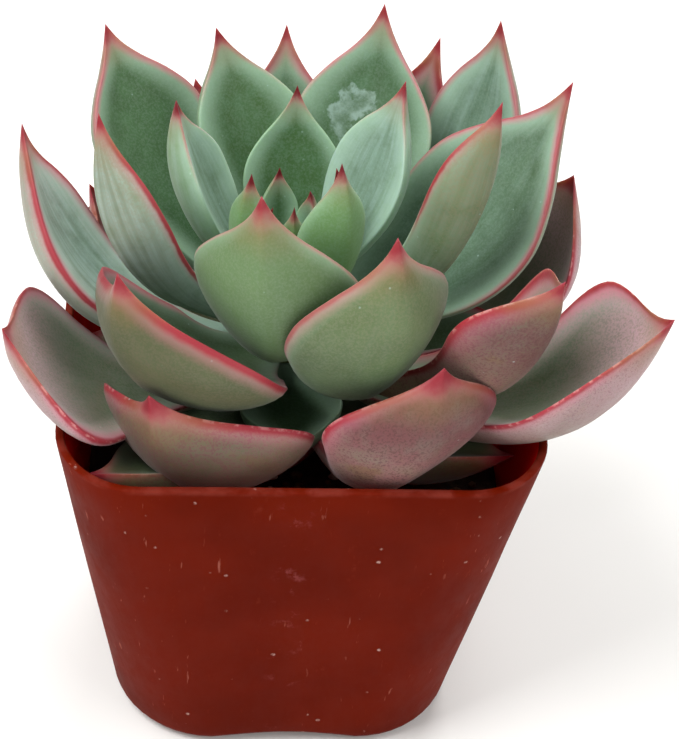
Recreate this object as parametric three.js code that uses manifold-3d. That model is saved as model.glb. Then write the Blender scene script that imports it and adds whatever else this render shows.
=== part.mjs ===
// A potted echeveria: a fleshy rosette with red, pointed leaf tips in a small square nursery pot.
// Millimetres, +Z up. The front of the plant faces -Y.
import * as THREE from 'three';
import { mergeVertices } from 'three/addons/utils/BufferGeometryUtils.js';
import Module from 'manifold-3d';

const wasm = await Module();
wasm.setup();

const GAP = 0.3; // clearance between touching pieces

// Pot: a thin-walled square plastic pot, 2 3/8 inch across the top
const POT = {
  height: 55,
  topHalf: 30, // half the outer width at the rim
  bottomHalf: 23.4,
  topCorner: 10.5, // corner radius seen from above
  bottomCorner: 13.8,
  wall: 1.1,
  floorUnder: 1.6, // height of the floor's underside
  floorTop: 2.8,
  lipRound: 0.3, // small bevel of the rim
  footInset: 4, // width of the base ring, whose corners are the feet
  footSlope: 1, // how far the ring's inner side leans inwards
  edgeRound: 2.2, // rounding of the base edge
  archRise: 1.2, // the base ring lifts by this much in the middle of each side
  archTop: 5.5, // height at which the wall no longer follows that lift
};
const DRAIN = { radius: 3, reach: 11.5, sides: 16, depth: 8 };
const CORNER_STEPS = 5;
const SIDE_STEPS = 4;
const EDGE_STEPS = 3;
const FLOOR_CURVE = [[2.2, 0], [0.7, 0.9], [0, 3]]; // from floor to wall: inset, height

// Soil and stem
const SOIL = { top: 39, edgeRound: 0.8, relief: 0.7, rings: 5, ringStep: 4.6 };
const STEM = {
  bottom: 27,
  neck: 44.5, // height at which it starts to narrow
  waist: 55.3,
  top: 62.5,
  radius: 4.6,
  waistRadius: 3,
  tipRadius: 0.8,
  sides: 20,
};
const PLANT_AXIS = { x: -1.5, y: 2 }; // the plant stands a little off the pot's middle

// Rosette: every leaf follows its older neighbour by the golden angle
const GOLDEN_ANGLE = 137.5;
const FIRST_AZIMUTH = 173;
const ROOT = { lowest: 42.5, highest: 62.5, outer: 5.1, inner: 1.5 };
const MATURE_THICKNESS = 4.4;
const SLIMMER_FROM = 28; // the heart's leaves get thinner, one by one
const SLIMMER_STEP = 0.065;
const SLIMMEST = 0.28;
const CUT_BELOW_RIM = 22; // how far down the pot's wall may cut a leaf that leans on it

// Half width and thickness along a leaf, as shares of the greatest, from root (0) to tip (1)
const OUTLINE = [
  [0, 0.2], [0.15, 0.38], [0.35, 0.76], [0.5, 0.97], [0.58, 1], [0.68, 0.92],
  [0.78, 0.65], [0.86, 0.34], [0.92, 0.155], [0.96, 0.07], [1, 0],
];
const PROFILE = [
  [0, 0.4], [0.15, 0.66], [0.4, 1], [0.6, 0.95], [0.8, 0.66], [0.9, 0.36], [0.96, 0.14], [1, 0],
];

// One row a leaf, from the oldest, which lie in the pot, to the youngest of the heart.
// azimuth: where the tip points, in degrees from the front, counted to the right
// reach, height: how far the tip is from the plant's axis, and how high
// width: the blade's greatest width; bow: how many degrees it bends up along its length
// roll: degrees of turn about its own length; cup: how far its margins stand up
// sway: how far its middle lies to one side; belly: over 1 moves its widest place to the tip
// plump: how thick it is beside its neighbours
const LEAVES = [
  { azimuth: -44, reach: 35.5, height: 51.5, width: 14, bow: 10, roll: 10, sway: 5 },
  { azimuth: 86, reach: 31, height: 58, width: 17, bow: 40 },
  { azimuth: -134, reach: 34, height: 58, width: 17, bow: 40 },
  { azimuth: 3, reach: 16, height: 45, width: 9, bow: 0 },
  { azimuth: 140, reach: 35, height: 60, width: 17, bow: 40 },
  { azimuth: -82, reach: 26, height: 55, width: 15, bow: 20 },
  { azimuth: 55, reach: 34.5, height: 50, width: 17, bow: 10, roll: -15, sway: -5 },
  { azimuth: -168, reach: 36, height: 68, width: 17, bow: 35 },
  {
    azimuth: -35, reach: 30, height: 63.5, width: 28, bow: 100,
    roll: 12, cup: 0.4, sway: 3, belly: 1.05, plump: 1.1,
  },
  {
    azimuth: 102, reach: 37, height: 73.5, width: 21.5, bow: 100,
    roll: 14, cup: 0.45, sway: -0.5, belly: 1.9,
  },
  { azimuth: -119, reach: 29.5, height: 65.5, width: 17, bow: 60 },
  {
    azimuth: 31, reach: 32, height: 71, width: 21.5, bow: 112,
    roll: -15, cup: 0.18, sway: -3, belly: 2, plump: 1.05,
  },
  { azimuth: 147, reach: 38, height: 78.5, width: 17, bow: 60 },
  { azimuth: -62, reach: 39, height: 68, width: 24.5, bow: 75, roll: -13, cup: 0.17, belly: 1.8 },
  {
    azimuth: 63, reach: 49, height: 74.5, width: 23.5, bow: 74,
    roll: 6, cup: 0.5, sway: -3.5, belly: 2.1,
  },
  { azimuth: -156, reach: 30, height: 73.7, width: 20, bow: 35 },
  { azimuth: 3, reach: 21, height: 51, width: 13, bow: 20 },
  { azimuth: 130, reach: 35, height: 87, width: 15.5, bow: 80, cup: 0.18, sway: -2, belly: 1.35 },
  {
    azimuth: -103.5, reach: 34.5, height: 79, width: 14.5, bow: 52,
    roll: 6, cup: 0.21, sway: 7.5, belly: 1.25,
  },
  {
    azimuth: 49.5, reach: 38.5, height: 82, width: 15, bow: 71,
    roll: -6, cup: 0.68, sway: -0.7, belly: 2.3,
  },
  { azimuth: 180, reach: 34, height: 78.5, width: 15.5, bow: 60 },
  { azimuth: -45.5, reach: 29.3, height: 78.3, width: 29, bow: 84, sway: 1.5, belly: 0.88 },
  {
    azimuth: 100.5, reach: 34.3, height: 88.4, width: 23, bow: 38,
    roll: 17, cup: 0.2, sway: -2.4, belly: 0.87,
  },
  {
    azimuth: -136.5, reach: 34.8, height: 83, width: 19.5, bow: 35,
    roll: 6, cup: 0.3, sway: 1.6, belly: 1.2,
  },
  { azimuth: 24, reach: 25, height: 86, width: 21, bow: 100, sway: -0.5, belly: 1.25 },
  { azimuth: 156, reach: 30, height: 86, width: 19, bow: 50, sway: -1.5 },
  { azimuth: -78, reach: 24, height: 89.5, width: 9.5, bow: 48, roll: 22, sway: 2.8, belly: 1.4 },
  {
    azimuth: 73.5, reach: 23.8, height: 93.7, width: 8.6, bow: 38,
    roll: -33, cup: 0.4, sway: -3.5, belly: 2.1,
  },
  { azimuth: -156, reach: 24, height: 85, width: 15, bow: 45, sway: -2.4, belly: 1.1 },
  { azimuth: -15, reach: 19, height: 88, width: 20, bow: 95, sway: 2, belly: 1.15 },
  { azimuth: 122.5, reach: 16, height: 86.3, width: 12.3, bow: 13, roll: 3, cup: 0.27, sway: -1.2 },
  { azimuth: -103, reach: 15, height: 86, width: 11, bow: 30 },
  { azimuth: 28, reach: 10, height: 86, width: 9, bow: 50, belly: 1.1 },
  { azimuth: 178, reach: 12, height: 83, width: 13, bow: 40, belly: 0.85 },
  { azimuth: -44, reach: 8, height: 82, width: 8, bow: 40 },
  { azimuth: 75, reach: 5, height: 80, width: 5, bow: 30 },
  { azimuth: -158, reach: 4.5, height: 76, width: 5, bow: 30 },
  { azimuth: -2, reach: 4, height: 76, width: 4, bow: 30 },
  { azimuth: 135, reach: 3, height: 74, width: 3.5, bow: 30 },
  { azimuth: -87, reach: 2.5, height: 73, width: 3, bow: 30 },
];
const LEAF_DEFAULTS = { roll: 0, cup: 0.35, sway: 0, belly: 1, plump: 1 };
const UPPER_SHARE = 0.22; // share of the thickness above the blade's middle surface
const FULLNESS = 0.8; // below 1 the section is fuller than an ellipse
const RIM_GROWTH = 0.3; // power that lets a swollen leaf be thick at its margins too
const KEEL = 0.25; // how far the underside stands out along its middle
const KEEL_EDGE = 1.6; // how sharply that keel stands out
const BLADE_FROM = 0.25; // the cup is full and the keel begins this far along the leaf
const ROLL_AT_ROOT = 0.35; // share of the roll that the root has
const ROLL_GAIN = 1.04; // how fast the roll grows along the leaf
const TIP_CROWDING = 1.15; // rows of faces lie closer together towards the tip
const SMALL_LEAVES_FROM = 34; // leaves of the heart are made with fewer faces
const LEAF_MESH = { around: 10, along: 10 };
const SMALL_LEAF_MESH = { around: 8, along: 6 };
const COLOURS = {
  pot: 0x7e2413,
  soil: 0x2b221c,
  stem: 0x6f7a4e,
  oldLeaf: 0x6b6a52,
  grownLeaf: 0x7f9f86,
  youngLeaf: 0x9dc09a,
};
const ROUGHNESS = { pot: 0.45, soil: 0.95, stem: 0.7, leaf: 0.55 };

const radians = THREE.MathUtils.degToRad;
const clamp = THREE.MathUtils.clamp;
const lerp = THREE.MathUtils.lerp;

// A smooth curve through a list of [place, value] points
function through(points, place) {
  const last = points.length - 1;
  const slope = (i) => (points[i + 1][1] - points[i][1]) / (points[i + 1][0] - points[i][0]);
  const tangent = (i) => {
    if (i === 0) return slope(0);
    if (i === last) return slope(last - 1);
    const before = points[i][0] - points[i - 1][0];
    const after = points[i + 1][0] - points[i][0];
    return (slope(i) * before + slope(i - 1) * after) / (before + after);
  };
  let i = 0;
  while (i < last - 1 && place >= points[i + 1][0]) i += 1;
  const span = points[i + 1][0] - points[i][0];
  const t = (place - points[i][0]) / span;
  const t2 = t * t;
  const t3 = t2 * t;
  return (2 * t3 - 3 * t2 + 1) * points[i][1] + (t3 - 2 * t2 + t) * span * tangent(i)
    + (3 * t2 - 2 * t3) * points[i + 1][1] + (t3 - t2) * span * tangent(i + 1);
}

// Closed mesh to solid and back
function solid(geometry) {
  const plain = geometry.clone();
  plain.deleteAttribute('normal');
  plain.deleteAttribute('uv');
  const merged = mergeVertices(plain, 1e-4);
  return new wasm.Manifold(new wasm.Mesh({
    numProp: 3,
    vertProperties: Float32Array.from(merged.attributes.position.array),
    triVerts: Uint32Array.from(merged.index.array),
  }));
}

function geometryOf(body) {
  const mesh = body.getMesh();
  const geometry = new THREE.BufferGeometry();
  geometry.setAttribute('position', new THREE.BufferAttribute(mesh.vertProperties, 3));
  geometry.setIndex(new THREE.BufferAttribute(mesh.triVerts, 1));
  return geometry;
}

// Pieces of a cut leaf that came loose are dropped
function largestPiece(body) {
  return body.decompose().sort((a, b) => b.volume() - a.volume())[0];
}

// Rounded square: the point at one step round an outline of a half width and corner radius.
// lift is 1 in the middle of a side and 0 at the corners.
const STEPS_ROUND = 4 * (CORNER_STEPS + SIDE_STEPS);
function roundedSquare(step, half, corner) {
  const quarter = CORNER_STEPS + SIDE_STEPS;
  const side = Math.floor(step / quarter) % 4;
  const k = step % quarter;
  const straight = half - corner;
  const point = new THREE.Vector2();
  let lift = 0;
  if (k <= CORNER_STEPS) {
    const angle = radians(90 * k / CORNER_STEPS);
    point.set(straight + corner * Math.cos(angle), straight + corner * Math.sin(angle));
  } else {
    const along = (k - CORNER_STEPS) / SIDE_STEPS;
    point.set(lerp(straight, -straight, along), half);
    lift = Math.sin(Math.PI * along);
  }
  point.rotateAround(new THREE.Vector2(), radians(90 * side));
  return { x: point.x, y: point.y, lift };
}

// A body of rounded-square rings: the profile goes from the axis round to the axis again, as
// [inset from the outer wall, height, lift share]; an inset of null is on the axis
function squareBody(profile, halfAt, cornerAt) {
  const flat = profile.map(([inset], row) => new THREE.Vector2(inset === null ? 0 : 1, row));
  const geometry = new THREE.LatheGeometry(flat, STEPS_ROUND);
  const position = geometry.attributes.position;
  for (let i = 0; i < position.count; i += 1) {
    const row = i % profile.length;
    const step = Math.floor(i / profile.length) % STEPS_ROUND;
    const [inset, height, lifted] = profile[row];
    if (inset === null) {
      position.setXYZ(i, 0, 0, height);
    } else {
      const half = halfAt(height) - inset;
      const corner = Math.max(cornerAt(height) - inset, 1);
      const ring = roundedSquare(step, half, corner);
      position.setXYZ(i, ring.x, ring.y, height + lifted * POT.archRise * ring.lift);
    }
  }
  return geometry;
}

const potHalf = (height) => lerp(POT.bottomHalf, POT.topHalf, height / POT.height);
const potCorner = (height) => lerp(POT.bottomCorner, POT.topCorner, height / POT.height);

// The rounding from floor to wall, for the pot's inside and for the soil that fills it
const floorCurve = (inset, bottom) => FLOOR_CURVE.map(([x, z]) => [inset + x, bottom + z, 0]);

function pot() {
  const { wall, lipRound, edgeRound } = POT;
  const profile = [
    [null, POT.floorUnder, 0],
    [POT.footInset + POT.footSlope, POT.floorUnder, 0],
    [POT.footInset, 0, 1],
  ];
  for (let k = 0; k <= EDGE_STEPS; k += 1) {
    const turn = radians(90 * k / EDGE_STEPS);
    const height = edgeRound * (1 - Math.cos(turn));
    profile.push([edgeRound * (1 - Math.sin(turn)), height, 1 - height / POT.archTop]);
  }
  profile.push(
    [0, POT.archTop, 0],
    [0, POT.height - lipRound, 0],
    [lipRound, POT.height, 0],
    [wall - lipRound, POT.height, 0],
    [wall, POT.height - lipRound, 0],
    ...floorCurve(wall, POT.floorTop).reverse(),
    [null, POT.floorTop, 0],
  );
  let body = solid(squareBody(profile, potHalf, potCorner));
  for (const turn of [45, 135, 225, 315]) {
    const hole = new THREE.CylinderGeometry(DRAIN.radius, DRAIN.radius, DRAIN.depth, DRAIN.sides);
    const x = DRAIN.reach * Math.cos(radians(turn));
    const y = DRAIN.reach * Math.sin(radians(turn));
    hole.rotateX(Math.PI / 2);
    hole.translate(x, y, POT.floorUnder);
    body = body.subtract(solid(hole));
  }
  return geometryOf(body);
}

// The space that the pot's wall takes, with clearance, to cut the leaves that rest on the rim
function wallSpace() {
  const outside = -GAP;
  const inside = POT.wall + GAP;
  const top = POT.height + GAP;
  const bottom = POT.height - CUT_BELOW_RIM;
  const profile = [
    [outside, bottom, 0],
    [outside, top, 0],
    [inside, top, 0],
    [inside, bottom, 0],
    [outside, bottom, 0],
  ];
  return squareBody(profile, potHalf, potCorner);
}

// Soft lumps of the soil's surface, as a sum of waves
function soilRelief(x, y) {
  return SOIL.relief * (0.5 * Math.sin(0.55 * x + 1.3) * Math.cos(0.48 * y)
    + 0.5 * Math.sin(0.93 * x - 0.71 * y + 0.4));
}

function soil() {
  const inset = POT.wall + GAP;
  const bottom = POT.floorTop + GAP;
  const profile = [
    [null, bottom, 0],
    ...floorCurve(inset, bottom),
    [inset, SOIL.top - SOIL.edgeRound, 0],
  ];
  for (let ring = 0; ring < SOIL.rings; ring += 1) {
    profile.push([inset + SOIL.edgeRound + ring * SOIL.ringStep, SOIL.top, 0]);
  }
  profile.push([null, SOIL.top, 0]);
  const geometry = squareBody(profile, potHalf, potCorner);
  const position = geometry.attributes.position;
  for (let i = 0; i < position.count; i += 1) {
    if (position.getZ(i) === Math.fround(SOIL.top)) {
      position.setZ(i, SOIL.top + soilRelief(position.getX(i), position.getY(i)));
    }
  }
  const radius = STEM.radius + GAP;
  const depth = STEM.neck - (STEM.bottom - GAP); // open upwards
  const hole = new THREE.CylinderGeometry(radius, radius, depth, STEM.sides);
  hole.rotateX(Math.PI / 2);
  hole.translate(PLANT_AXIS.x, PLANT_AXIS.y, STEM.bottom - GAP + depth / 2);
  return geometryOf(solid(geometry).subtract(solid(hole)));
}

// The stem narrows towards the heart; grow makes it larger, to cut the leaves' roots clear
function stem(grow = 0) {
  const profile = [
    [0, STEM.bottom - grow],
    [STEM.radius + grow, STEM.bottom - grow],
    [STEM.radius + grow, STEM.neck],
    [STEM.waistRadius + grow, STEM.waist],
    [STEM.tipRadius + grow, STEM.top + grow],
    [0, STEM.top + grow],
  ].map(([radius, height]) => new THREE.Vector2(radius, height));
  const geometry = new THREE.LatheGeometry(profile, STEM.sides);
  geometry.rotateX(Math.PI / 2);
  geometry.translate(PLANT_AXIS.x, PLANT_AXIS.y, 0);
  return geometry;
}

// A point at an azimuth, reach and height from the plant's axis
function placeOnPlant(azimuth, reach, height) {
  const turn = radians(azimuth);
  return new THREE.Vector3(
    PLANT_AXIS.x + reach * Math.sin(turn), PLANT_AXIS.y - reach * Math.cos(turn), height,
  );
}

// All that a leaf's shape needs: its root and tip, its arched midrib and its own directions
function leafFrame(index) {
  const leaf = { ...LEAF_DEFAULTS, ...LEAVES[index] };
  const age = index / (LEAVES.length - 1); // 0 for the oldest leaf, 1 for the youngest
  const root = placeOnPlant(
    FIRST_AZIMUTH + GOLDEN_ANGLE * (index + 1),
    lerp(ROOT.outer, ROOT.inner, age ** 1.5),
    lerp(ROOT.lowest, ROOT.highest, age),
  );
  const tip = placeOnPlant(leaf.azimuth, leaf.reach, leaf.height);
  const chord = tip.clone().sub(root);
  const out = new THREE.Vector3(chord.x, chord.y, 0).normalize();
  const across = new THREE.Vector3(-out.y, out.x, 0);
  const rise = Math.atan2(chord.z, Math.hypot(chord.x, chord.y));
  const half = radians(leaf.bow) / 2;
  const slimming = clamp(1 - (index - SLIMMER_FROM) * SLIMMER_STEP, SLIMMEST, 1);
  const thickness = MATURE_THICKNESS * slimming * leaf.plump;
  return { ...leaf, root, chord: chord.length(), out, across, rise, half, thickness };
}

// Place and slope of the midrib, a circular arc from root to tip
function midrib(frame, s) {
  const { half, rise, chord } = frame;
  if (half < 1e-4) {
    const run = chord * s;
    return { run: run * Math.cos(rise), climb: run * Math.sin(rise), slope: rise };
  }
  const radius = chord / (2 * Math.sin(half));
  const slope = rise + half * (2 * s - 1);
  return {
    run: radius * (Math.sin(slope) - Math.sin(rise - half)),
    climb: radius * (Math.cos(rise - half) - Math.cos(slope)),
    slope,
  };
}

// A point of the leaf's skin: s from root to tip, angle round the section, grow to swell it
function leafPoint(frame, s, angle, grow) {
  const middle = midrib(frame, s);
  const u = Math.cos(angle);
  const v = Math.sin(angle);
  const width = Math.max(through(OUTLINE, s ** frame.belly), 0) * frame.width / 2 + grow;
  const thickness = Math.max(through(PROFILE, s), 0) * frame.thickness;
  const full = Math.sign(v) * Math.abs(v) ** FULLNESS;
  const rim = Math.sign(v) * Math.abs(v) ** RIM_GROWTH * grow;
  let height = frame.cup * Math.min(1, s / BLADE_FROM) * width * u * u;
  if (v >= 0) {
    height += full * thickness * UPPER_SHARE + rim;
  } else {
    const alongBlade = clamp((s - BLADE_FROM) / (1 - BLADE_FROM), 0, 1);
    const keel = KEEL * frame.thickness * Math.sin(Math.PI * alongBlade);
    height += full * thickness * (1 - UPPER_SHARE) + rim - keel * (1 - Math.abs(u)) ** KEEL_EDGE;
  }
  const roll = radians(frame.roll) * Math.min(1, ROLL_AT_ROOT + ROLL_GAIN * s);
  const aside = width * u * Math.cos(roll) - height * Math.sin(roll);
  const raised = width * u * Math.sin(roll) + height * Math.cos(roll);
  const sway = frame.sway * Math.sin(Math.PI * s);
  return frame.root.clone()
    .addScaledVector(frame.out, middle.run - raised * Math.sin(middle.slope))
    .addScaledVector(frame.across, aside + sway)
    .add(new THREE.Vector3(0, 0, middle.climb + raised * Math.cos(middle.slope)));
}

// A leaf is a sphere's mesh laid over the leaf's skin, with a flat root and a pointed tip
function leaf(index, grow = 0) {
  const frame = leafFrame(index);
  const { around, along } = index < SMALL_LEAVES_FROM ? LEAF_MESH : SMALL_LEAF_MESH;
  const geometry = new THREE.SphereGeometry(1, around, along + 1);
  const position = geometry.attributes.position;
  const columns = around + 1;
  for (let i = 0; i < position.count; i += 1) {
    const row = Math.floor(i / columns);
    const angle = -2 * Math.PI * ((i % columns) % around) / around;
    const s = 1 - (1 - Math.max(row - 1, 0) / along) ** TIP_CROWDING;
    let point;
    if (row === 0) {
      const above = leafPoint(frame, 0, Math.PI / 2, grow);
      point = leafPoint(frame, 0, -Math.PI / 2, grow).lerp(above, 0.5);
    } else if (row === along + 1) {
      point = leafPoint(frame, 1, 0, 0);
    } else {
      point = leafPoint(frame, s, angle, grow);
    }
    position.setXYZ(i, point.x, point.y, point.z);
  }
  return geometry;
}

function named(name, geometry, colour, roughness) {
  const material = new THREE.MeshStandardMaterial({ color: colour, roughness, metalness: 0 });
  const mesh = new THREE.Mesh(geometry, material);
  mesh.name = name;
  return mesh;
}

// Where two leaves press on each other, the older one gives way to the younger, which lies above
function rosette() {
  const whole = LEAVES.map((_, index) => solid(leaf(index)));
  const swollen = LEAVES.map((_, index) => solid(leaf(index, GAP)));
  const core = solid(stem(GAP)).add(solid(wallSpace()));
  return LEAVES.map((_, index) => {
    let body = whole[index].subtract(core);
    for (let younger = index + 1; younger < LEAVES.length; younger += 1) {
      body = body.subtract(swollen[younger]);
    }
    body = largestPiece(body);
    const age = index / (LEAVES.length - 1);
    const target = age < 0.5 ? COLOURS.grownLeaf : COLOURS.youngLeaf;
    const colour = new THREE.Color(COLOURS.oldLeaf);
    colour.lerp(new THREE.Color(target), Math.min(1, age * 2));
    const name = `leaf_${String(index + 1).padStart(2, '0')}`;
    return named(name, geometryOf(body), colour, ROUGHNESS.leaf);
  });
}

const group = new THREE.Group();
group.add(named('pot', pot(), COLOURS.pot, ROUGHNESS.pot));
group.add(named('soil', soil(), COLOURS.soil, ROUGHNESS.soil));
group.add(named('stem', stem(), COLOURS.stem, ROUGHNESS.stem));
group.add(...rosette());

// The origin is the middle of the underside of the whole plant's box
const box = new THREE.Box3().setFromObject(group);
const middle = box.getCenter(new THREE.Vector3());
group.position.set(-middle.x, -middle.y, -box.min.z);

export default group;
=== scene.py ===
import math
import random

import bmesh
import bpy
from mathutils import Matrix, Vector, noise


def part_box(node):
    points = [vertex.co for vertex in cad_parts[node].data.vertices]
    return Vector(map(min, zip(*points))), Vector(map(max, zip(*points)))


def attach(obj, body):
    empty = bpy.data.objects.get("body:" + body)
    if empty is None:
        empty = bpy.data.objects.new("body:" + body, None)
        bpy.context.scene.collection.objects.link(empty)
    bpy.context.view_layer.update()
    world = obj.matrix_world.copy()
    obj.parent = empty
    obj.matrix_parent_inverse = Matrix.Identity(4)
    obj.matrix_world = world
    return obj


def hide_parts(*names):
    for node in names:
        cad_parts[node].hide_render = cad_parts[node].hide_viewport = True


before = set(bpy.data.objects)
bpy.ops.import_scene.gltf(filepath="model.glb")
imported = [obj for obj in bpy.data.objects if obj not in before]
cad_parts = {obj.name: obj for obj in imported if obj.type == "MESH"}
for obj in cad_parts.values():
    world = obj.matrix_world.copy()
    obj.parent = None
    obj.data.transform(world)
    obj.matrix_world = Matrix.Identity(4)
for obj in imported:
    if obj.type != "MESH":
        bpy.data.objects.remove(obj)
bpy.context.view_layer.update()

MM = 0.001
SEED = 7
WELD = 0.002

# The pot's axis in the frame; all shapes below are in millimetres from it
pot_low, pot_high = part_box("pot")
POT_AXIS = Vector(((pot_low.x + pot_high.x) / 2, (pot_low.y + pot_high.y) / 2, 0))

# Pot
POT_HEIGHT = 55
POT_TOP_HALF = 30
POT_BOTTOM_HALF = 23.4
POT_TOP_CORNER = 10.5
POT_BOTTOM_CORNER = 13.8
POT_WALL = 1.1
POT_LIP = 0.3
LIP_BEND = 0.3
POT_WAVER = 0.12
POT_WAVER_SPAN = 14
FLOOR_UNDER = 1.6
FLOOR_TOP = 2.8
FLOOR_CURVE = [(2.2, 0), (1.3, 0.3), (0.7, 0.9), (0.25, 1.9), (0, 3)]
INNER_WALL_FROM = 4
FOOT_INSET = 4
FOOT_SLOPE = 1
EDGE_ROUND = 2.2
ARCH_RISE = 1.2
ARCH_TOP = 5.5
DRAIN_RADIUS = 3
DRAIN_REACH = 11.5
DRAIN_TURNS = (45, 135, 225, 315)
DRAIN_CUT = 16
DRAIN_SIDES = 32
CORNER_STEPS = 12
SIDE_STEPS = 14
EDGE_STEPS = 6
WALL_STEPS = 8
CREASE_FROM = 50

# Soil. Its lumps are given by height and span
GAP = 0.3
SOIL_TOP = 39
SOIL_RELIEF = 0.7
SOIL_LUMPS = [(0.5, 2.3), (0.3, 0.9)]
SOIL_LEVEL = 0.1
SOIL_EDGE = 0.8
SOIL_RING = 0.72
SOIL_RINGS = 36
SOIL_SIDE_STEPS = 4

# Loose grains on the soil: how many, smallest size, largest size
BARK_GRAINS = (260, 0.9, 2.6)
PUMICE_GRAINS = (90, 0.7, 2.0)
GRAIN_FROM_WALL = 2.5
GRAIN_FROM_STEM = 1.5
GRAIN_CORNER_ROOM = 3
GRAIN_LIFT = 0.15
GRAIN_TILT = 0.5
GRAIN_PROPORTIONS = [(0.7, 1.1), (0.5, 0.9), (0.35, 0.7)]
GRAIN_LUMPS = 0.35

# Stem
PLANT_AXIS = (-1.5, 2)
STEM_BOTTOM = 27
STEM_RADIUS = 4.6
STEM_STRAIGHT_FROM = 7
STEM_PROFILE = [(STEM_STRAIGHT_FROM, STEM_RADIUS), (44.5, 4.6), (55.3, 3), (62.5, 0.8)]
STEM_RINGS = 36
STEM_COLUMNS = 40
SCAR_RELIEF = 0.16
SCAR_MOST = 1.03

# Rosette
GOLDEN_ANGLE = 137.5
FIRST_AZIMUTH = 173
ROOT_LOWEST = 42.5
ROOT_HIGHEST = 62.5
ROOT_OUTER = 5.1
ROOT_INNER = 1.5
ROOT_EASING = 1.5

# A leaf's half width and thickness from root to tip, as shares of the greatest
OUTLINE = [
    (0, 0.2), (0.15, 0.38), (0.35, 0.76), (0.5, 0.97), (0.58, 1), (0.68, 0.92),
    (0.78, 0.65), (0.86, 0.34), (0.92, 0.155), (0.96, 0.07), (1, 0),
]
PROFILE = [
    (0, 0.4), (0.15, 0.66), (0.4, 1), (0.6, 0.95), (0.8, 0.66), (0.9, 0.36), (0.96, 0.14), (1, 0),
]
MATURE_THICKNESS = 4.4
SLIMMER_FROM = 28
SLIMMER_STEP = 0.065
SLIMMEST = 0.28
UPPER_SHARE = 0.22
FULLNESS = 0.8
KEEL = 0.25
KEEL_EDGE = 1.6
BLADE_FROM = 0.25
ROLL_AT_ROOT = 0.35
ROLL_GAIN = 1.04
STRAIGHT_BELOW = 1e-4
TIP_CROWDING = 1.15
LEAF_COLUMNS = 36
LEAF_ROWS = 44

# Slight waves of a leaf's skin, in millimetres, and how many along, across and through it
SURFACE_WAVE = 0.16
WAVES = (5, 1.3, 0.7)
WAVE_SHIFT = 3.7
WAVE_FULL_FROM = 3

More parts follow.
